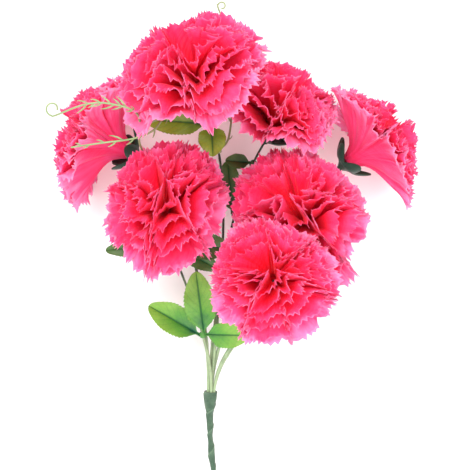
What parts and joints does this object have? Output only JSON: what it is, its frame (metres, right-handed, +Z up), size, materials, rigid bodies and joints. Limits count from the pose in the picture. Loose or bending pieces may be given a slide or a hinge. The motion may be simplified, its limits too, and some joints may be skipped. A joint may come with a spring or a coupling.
{
  "type": "artificial carnation bunch",
  "caption": "Bunch of ruffled pink fabric carnations on wire stems with leaves and tendrils, bound by tape into one handle, lying on its back.",
  "frame": {"origin": "bottom centre of the lying bunch's bounding box, on the surface it rests on", "axes": "+Y from the cut end of the handle towards the flowers, +Z up off the surface, +X across the bunch to the right seen from above"},
  "size_m": [0.258, 0.3484, 0.15],
  "materials": {
    "petal_fabric": "soft woven polyester, printed from crimson at the foot to pink at the pinked rim",
    "leaf_plastic": "soft moulded plastic leaf with embossed veins, satin",
    "calyx_plastic": "moulded polyethylene, satin",
    "stem_plastic": "plastic-coated wire, satin",
    "sprig_plastic": "soft moulded plastic, pale, slightly translucent",
    "floral_tape": "waxed crepe tape, matte, wound in laps"
  },
  "bodies": {
    "root": {"handle": "floral_tape", "heart_petals_top": "petal_fabric", "inner_petals_top": "petal_fabric", "middle_petals_top": "petal_fabric", "outer_petals_top": "petal_fabric", "calyx_top": "calyx_plastic", "stem_top": "stem_plastic", "heart_petals_far_left": "petal_fabric", "inner_petals_far_left": "petal_fabric", "middle_petals_far_left": "petal_fabric", "outer_petals_far_left": "petal_fabric", "calyx_far_left": "calyx_plastic", "stem_far_left": "stem_plastic", "heart_petals_upper_right": "petal_fabric", "inner_petals_upper_right": "petal_fabric", "middle_petals_upper_right": "petal_fabric", "outer_petals_upper_right": "petal_fabric", "calyx_upper_right": "calyx_plastic", "stem_upper_right": "stem_plastic", "heart_petals_far_right": "petal_fabric", "inner_petals_far_right": "petal_fabric", "middle_petals_far_right": "petal_fabric", "outer_petals_far_right": "petal_fabric", "calyx_far_right": "calyx_plastic", "stem_far_right": "stem_plastic", "heart_petals_left": "petal_fabric", "inner_petals_left": "petal_fabric", "middle_petals_left": "petal_fabric", "outer_petals_left": "petal_fabric", "calyx_left": "calyx_plastic", "stem_left": "stem_plastic", "heart_petals_right": "petal_fabric", "inner_petals_right": "petal_fabric", "middle_petals_right": "petal_fabric", "outer_petals_right": "petal_fabric", "calyx_right": "calyx_plastic", "stem_right": "stem_plastic", "heart_petals_front": "petal_fabric", "inner_petals_front": "petal_fabric", "middle_petals_front": "petal_fabric", "outer_petals_front": "petal_fabric", "calyx_front": "calyx_plastic", "stem_front": "stem_plastic", "leaves_fork": "leaf_plastic", "leaves_top": "leaf_plastic", "leaves_centre": "leaf_plastic", "leaves_upper_right": "leaf_plastic", "leaves_far_right": "leaf_plastic", "leaves_right": "leaf_plastic", "leaves_left": "leaf_plastic", "sprig_low": "sprig_plastic", "sprig_high": "sprig_plastic", "sprig_top": "sprig_plastic"}
  },
  "joints": []
}
